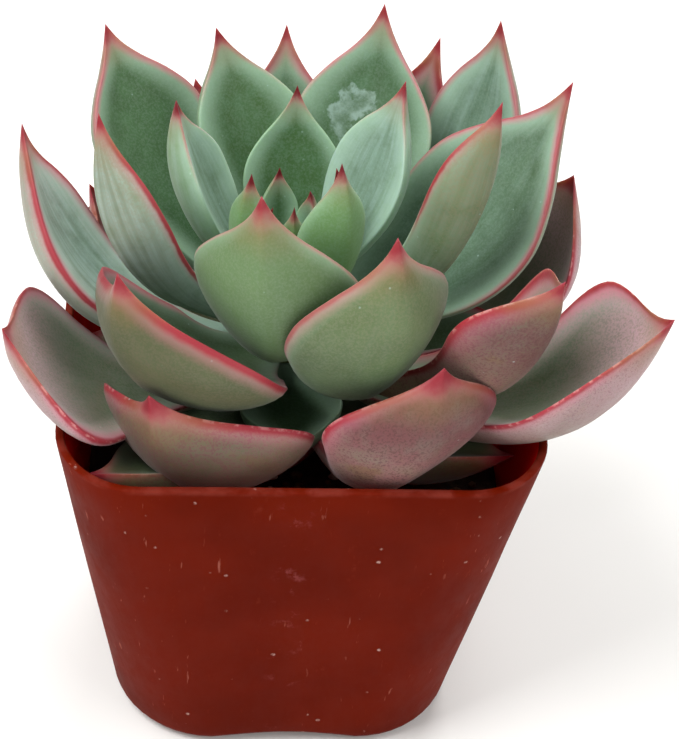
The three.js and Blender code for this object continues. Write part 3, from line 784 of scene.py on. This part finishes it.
def pot_shape():
    profile = [
        (None, FLOOR_UNDER, 0), (FOOT_INSET + FOOT_SLOPE, FLOOR_UNDER, 0), (FOOT_INSET, 0, 1),
    ]
    for k in range(EDGE_STEPS + 1):
        turn = math.radians(90 * k / EDGE_STEPS)
        height = EDGE_ROUND * (1 - math.cos(turn))
        profile.append((EDGE_ROUND * (1 - math.sin(turn)), height, 1 - height / ARCH_TOP))
    lip_low = POT_HEIGHT - POT_LIP
    bend = POT_LIP * LIP_BEND
    for k in range(WALL_STEPS + 1):
        profile.append((0, lerp(ARCH_TOP, lip_low, k / WALL_STEPS), 0))
    profile += [(bend, POT_HEIGHT - bend, 0), (POT_LIP, POT_HEIGHT, 0)]
    profile += [(POT_WALL - POT_LIP, POT_HEIGHT, 0), (POT_WALL - bend, POT_HEIGHT - bend, 0)]
    for k in range(WALL_STEPS + 1):
        profile.append((POT_WALL, lerp(lip_low, FLOOR_TOP + INNER_WALL_FROM, k / WALL_STEPS), 0))
    profile += reversed(floor_curve(POT_WALL, FLOOR_TOP))
    profile += [(None, FLOOR_TOP, 0)]
    return square_skin(profile, pot_waver)


def drilled(piece):
    """Drain holes through the pot's floor."""
    cutter = bmesh.new()
    for turn in DRAIN_TURNS:
        place = Vector((math.cos(math.radians(turn)), math.sin(math.radians(turn)), 0))
        place = Matrix.Translation(POT_AXIS + place * DRAIN_REACH * MM)
        bmesh.ops.create_cone(
            cutter, cap_ends=True, segments=DRAIN_SIDES, radius1=DRAIN_RADIUS * MM,
            radius2=DRAIN_RADIUS * MM, depth=DRAIN_CUT * MM, matrix=place,
        )
    tool = placed("drain holes", cutter)
    cut = piece.modifiers.new("drain holes", "BOOLEAN")
    cut.operation = "DIFFERENCE"
    cut.solver = "EXACT"
    cut.object = tool
    view = bpy.context.evaluated_depsgraph_get()
    drilled_data = bpy.data.meshes.new_from_object(piece.evaluated_get(view))
    piece.modifiers.remove(cut)
    piece.data = drilled_data
    bpy.data.objects.remove(tool)
    piece.data.set_sharp_from_angle(angle=math.radians(CREASE_FROM))


# Soil: a lumpy surface with loose grains of bark and pumice on it

def soil_relief(place):
    if place.z < SOIL_TOP - SOIL_LEVEL:
        return Vector()
    waves = 0.5 * math.sin(0.55 * place.x + 1.3) * math.cos(0.48 * place.y)
    waves += 0.5 * math.sin(0.93 * place.x - 0.71 * place.y + 0.4)
    lumps = sum(height * noise.noise(place / span) for height, span in SOIL_LUMPS)
    return Vector((0, 0, SOIL_RELIEF * waves + lumps))


def soil_shape():
    inset = POT_WALL + GAP
    bottom = FLOOR_TOP + GAP
    profile = [(None, bottom, 0), *floor_curve(inset, bottom)]
    side_low = profile[-1][1]
    for k in range(1, SOIL_SIDE_STEPS + 1):
        profile.append((inset, lerp(side_low, SOIL_TOP - SOIL_EDGE, k / SOIL_SIDE_STEPS), 0))
    for k in range(SOIL_RINGS):
        profile.append((inset + SOIL_EDGE + k * SOIL_RING, SOIL_TOP, 0))
    profile.append((None, SOIL_TOP, 0))
    return square_skin(profile, soil_relief)


def grains_shape(seed, count, smallest, largest):
    """Loose grains on the soil, as small rough stones."""
    draw = random.Random(seed)
    side = pot_half(SOIL_TOP) - POT_WALL - GRAIN_FROM_WALL
    grains = bmesh.new()
    for _ in range(count):
        x = draw.uniform(-side, side)
        y = draw.uniform(-side, side)
        size = draw.uniform(smallest, largest)
        if math.hypot(x - PLANT_AXIS[0], y - PLANT_AXIS[1]) < STEM_RADIUS + GRAIN_FROM_STEM:
            continue
        if math.hypot(x, y) > side + GRAIN_CORNER_ROOM:
            continue
        place = Vector((x, y, SOIL_TOP))
        place += soil_relief(place) + Vector((0, 0, size * GRAIN_LIFT))
        turn = Matrix.Rotation(draw.uniform(0, math.tau), 4, "Z")
        tilt = Matrix.Rotation(draw.uniform(-GRAIN_TILT, GRAIN_TILT), 4, "X")
        proportions = [draw.uniform(low, high) for low, high in GRAIN_PROPORTIONS]
        stretch = Matrix.Diagonal((*(size * MM * share for share in proportions), 1))
        made = bmesh.ops.create_icosphere(grains, subdivisions=2, radius=0.5)
        for vertex in made["verts"]:
            lump = noise.noise(vertex.co * 3 + Vector((size * 40, x, y)))
            vertex.co *= 1 + GRAIN_LUMPS * lump
        matrix = Matrix.Translation(place * MM + POT_AXIS) @ turn @ tilt @ stretch
        bmesh.ops.transform(grains, matrix=matrix, verts=made["verts"])
    return grains


# Stem: a short trunk with the scars of leaves that it has dropped

def stem_shape():
    def point(row, column):
        if row == 0:
            return (Vector((*PLANT_AXIS, STEM_BOTTOM)),)
        if row > STEM_RINGS:
            return (Vector((*PLANT_AXIS, STEM_BOTTOM + STEM_RINGS - 1)),)
        height = STEM_BOTTOM + row - 1
        angle = math.tau * column / STEM_COLUMNS
        radius = through(STEM_PROFILE, height)
        scar = SCAR_RELIEF * math.sin(height * 2.4 + 3 * math.sin(angle * 3 + height))
        radius = min(radius + scar, radius * SCAR_MOST)
        side = Vector((math.cos(angle), math.sin(angle), 0)) * radius
        return (Vector((*PLANT_AXIS, height)) + side,)

    return rolled_skin(STEM_RINGS + 1, STEM_COLUMNS, point)


# Leaves

def place_on_plant(azimuth, reach, height):
    turn = math.radians(azimuth)
    x = PLANT_AXIS[0] + reach * math.sin(turn)
    y = PLANT_AXIS[1] - reach * math.cos(turn)
    return Vector((x, y, height))


class Leaf:
    """Root, tip, arched midrib and own directions of a leaf."""

    def __init__(self, index):
        for word, value in {**LEAF_DEFAULTS, **LEAVES[index]}.items():
            setattr(self, word, value)
        self.index = index
        age = index / (len(LEAVES) - 1)
        self.root = place_on_plant(
            FIRST_AZIMUTH + GOLDEN_ANGLE * (index + 1),
            lerp(ROOT_OUTER, ROOT_INNER, age**ROOT_EASING),
            lerp(ROOT_LOWEST, ROOT_HIGHEST, age),
        )
        chord = place_on_plant(self.azimuth, self.reach, self.height) - self.root
        self.out = Vector((chord.x, chord.y, 0)).normalized()
        self.across = Vector((-self.out.y, self.out.x, 0))
        self.chord = chord.length
        self.rise = math.atan2(chord.z, math.hypot(chord.x, chord.y))
        self.half = math.radians(self.bow) / 2
        self.size = clamp(1 - (index - SLIMMER_FROM) * SLIMMER_STEP, SLIMMEST, 1)
        self.thickness = MATURE_THICKNESS * self.size * self.plump

    def midrib(self, s):
        """Place and slope of the midrib, a circular arc from root to tip."""
        if self.half < STRAIGHT_BELOW:
            run = self.chord * s
            return run * math.cos(self.rise), run * math.sin(self.rise), self.rise
        radius = self.chord / (2 * math.sin(self.half))
        start = self.rise - self.half
        slope = self.rise + self.half * (2 * s - 1)
        run = radius * (math.sin(slope) - math.sin(start))
        climb = radius * (math.cos(start) - math.cos(slope))
        return run, climb, slope

    def section(self, s, u, v):
        """Half width of the blade, a point's height over it and its distance from the edge."""
        width = max(through(OUTLINE, s**self.belly), 0) * self.width / 2
        thickness = max(through(PROFILE, s), 0) * self.thickness
        share = UPPER_SHARE if v >= 0 else 1 - UPPER_SHARE
        full = math.copysign(abs(v) ** FULLNESS, v) * thickness * share
        edge = math.hypot((1 - abs(u)) * width, full)
        height = self.cup * min(1, s / BLADE_FROM) * width * u * u + full
        if v < 0:
            along_blade = clamp((s - BLADE_FROM) / (1 - BLADE_FROM))
            keel = KEEL * self.thickness * math.sin(math.pi * along_blade)
            height -= keel * (1 - abs(u)) ** KEEL_EDGE
        along, across, deep = WAVES
        wave = noise.noise(Vector((s * along + self.index * WAVE_SHIFT, u * across, v * deep)))
        height += SURFACE_WAVE * self.size * wave * min(1, width / WAVE_FULL_FROM)
        return width, height, edge

    def smeared(self, s, u, v):
        """How much the bloom is rubbed, 1 in the middle of the smear, on the upper side only."""
        if not self.smear or v <= 0:
            return 0
        middle_s, middle_u = self.smear
        away = math.hypot((s - middle_s) * SMEAR_SHORTER, u - middle_u)
        return max(1 - away / SMEAR_REACH, 0)

    def point(self, s, angle):
        u = math.cos(angle)
        v = math.sin(angle)
        run, climb, slope = self.midrib(s)
        width, height, edge = self.section(s, u, v)
        roll = math.radians(self.roll) * min(1, ROLL_AT_ROOT + ROLL_GAIN * s)
        aside = width * u * math.cos(roll) - height * math.sin(roll)
        raised = width * u * math.sin(roll) + height * math.cos(roll)
        sway = self.sway * math.sin(math.pi * s)
        place = self.root + self.out * (run - raised * math.sin(slope))
        place += self.across * (aside + sway)
        place.z += climb + raised * math.cos(slope)
        return (
            place,
            Vector((s, u, v)),
            Vector((edge, self.chord * (1 - s), self.size)),
            Vector((self.blush, self.shade, self.red)),
            Vector((self.wax, self.smeared(s, u, v), self.index)),
        )

    def shape(self):
        def point(row, column):
            if row == 0:
                above = self.point(0, math.pi / 2)
                below = self.point(0, -math.pi / 2)
                return (above[0].lerp(below[0], 0.5), *above[1:])
            s = 1 - (1 - (row - 1) / (LEAF_ROWS - 1)) ** TIP_CROWDING
            return self.point(s, math.tau * column / LEAF_COLUMNS)

        return rolled_skin(LEAF_ROWS, LEAF_COLUMNS, point, LEAF_MARKS)


# Plant and pot are put together
pot = finished("nursery_pot", pot_shape(), pot_finish(), "pot")
drilled(pot)
dark_soil = soil_finish("potting mix", rgb(24, 17, 12), rgb(58, 42, 30))
bark = soil_finish("bark", rgb(50, 32, 20), rgb(96, 66, 42))
pumice = soil_finish("pumice", rgb(150, 142, 128), rgb(204, 198, 184))
finished("soil_body", soil_shape(), dark_soil, "soil")
finished("soil_bark", grains_shape(SEED, *BARK_GRAINS), bark)
finished("soil_pumice", grains_shape(SEED + 1, *PUMICE_GRAINS), pumice)
finished("stem_trunk", stem_shape(), stem_finish(), "stem")
flesh = LeafFlesh().made()
for index in range(len(LEAVES)):
    node = f"leaf_{index + 1:02d}"
    finished(f"fleshy_{node}", Leaf(index).shape(), flesh, node)


# Floor, light and camera
STAGE_SIZE = 2
STAGE_COLOUR = rgb(236, 235, 232)

# Soft lights: name, place, height above the ground that they aim at, size, power
LIGHTS = [
    ("key", (-0.28, -0.1, 0.52), 0.06, 0.34, 3.2),
    ("fill", (0.36, -0.26, 0.4), 0.05, 0.4, 1.1),
    ("front", (-0.04, -0.52, 0.14), 0.05, 0.4, 0.8),
    ("rim", (0.12, 0.36, 0.46), 0.06, 0.32, 2.2),
]
WORLD_STRENGTH = 0.36

CAMERA_AZIMUTH = math.radians(-4.6)
CAMERA_HEIGHT = math.radians(39.9)
CAMERA_DISTANCE = 0.25
CAMERA_ROLL = math.radians(-4)
CAMERA_TILT = math.radians(1.1)
CAMERA_PAN = math.radians(1.3)
CAMERA_LENS = 94.41
CAMERA_SENSOR = 36
CAMERA_NEAR = 0.01


def stage_floor():
    shape = bmesh.new()
    bmesh.ops.create_grid(shape, x_segments=1, y_segments=1, size=STAGE_SIZE)
    floor = placed("floor", shape)
    paper = Finish("floor paper", Specular_IOR_Level=0.1)
    floor.data.materials.append(paper.finish(STAGE_COLOUR, 0.9))


def soft_light(name, place, aim_height, size, power):
    data = bpy.data.lights.new(name, "AREA")
    data.shape = "SQUARE"
    data.size = size
    data.energy = power
    lamp = bpy.data.objects.new(name, data)
    lamp.location = place
    aim = Vector((0, 0, aim_height))
    lamp.rotation_euler = (Vector(place) - aim).to_track_quat("Z", "Y").to_euler()
    bpy.context.scene.collection.objects.link(lamp)


def studio_world():
    world = bpy.data.worlds.new("studio")
    world.use_nodes = True
    background = world.node_tree.nodes["Background"]
    background.inputs["Color"].default_value = (1, 1, 1, 1)
    background.inputs["Strength"].default_value = WORLD_STRENGTH
    bpy.context.scene.world = world


def photo_camera():
    flat = math.cos(CAMERA_HEIGHT)
    back = Vector((
        math.sin(CAMERA_AZIMUTH) * flat, -math.cos(CAMERA_AZIMUTH) * flat, math.sin(CAMERA_HEIGHT),
    ))
    right = (-back).cross(Vector((0, 0, 1))).normalized()
    up = back.cross(right)
    turned = Matrix.Rotation(CAMERA_ROLL, 3, "Z") @ Matrix.Rotation(CAMERA_TILT, 3, "X")
    turned = turned @ Matrix.Rotation(CAMERA_PAN, 3, "Y") @ Matrix((right, up, back))
    data = bpy.data.cameras.new("camera")
    data.lens = CAMERA_LENS
    data.sensor_width = CAMERA_SENSOR
    data.clip_start = CAMERA_NEAR
    camera = bpy.data.objects.new("camera", data)
    aim = POT_AXIS + Vector((0, 0, POT_HEIGHT * MM))
    place = Matrix.Translation(aim + back * CAMERA_DISTANCE)
    camera.matrix_world = place @ turned.transposed().to_4x4()
    bpy.context.scene.collection.objects.link(camera)
    bpy.context.scene.camera = camera


stage_floor()
for light in LIGHTS:
    soft_light(*light)
studio_world()
bpy.context.scene.view_settings.view_transform = "Standard"
photo_camera()
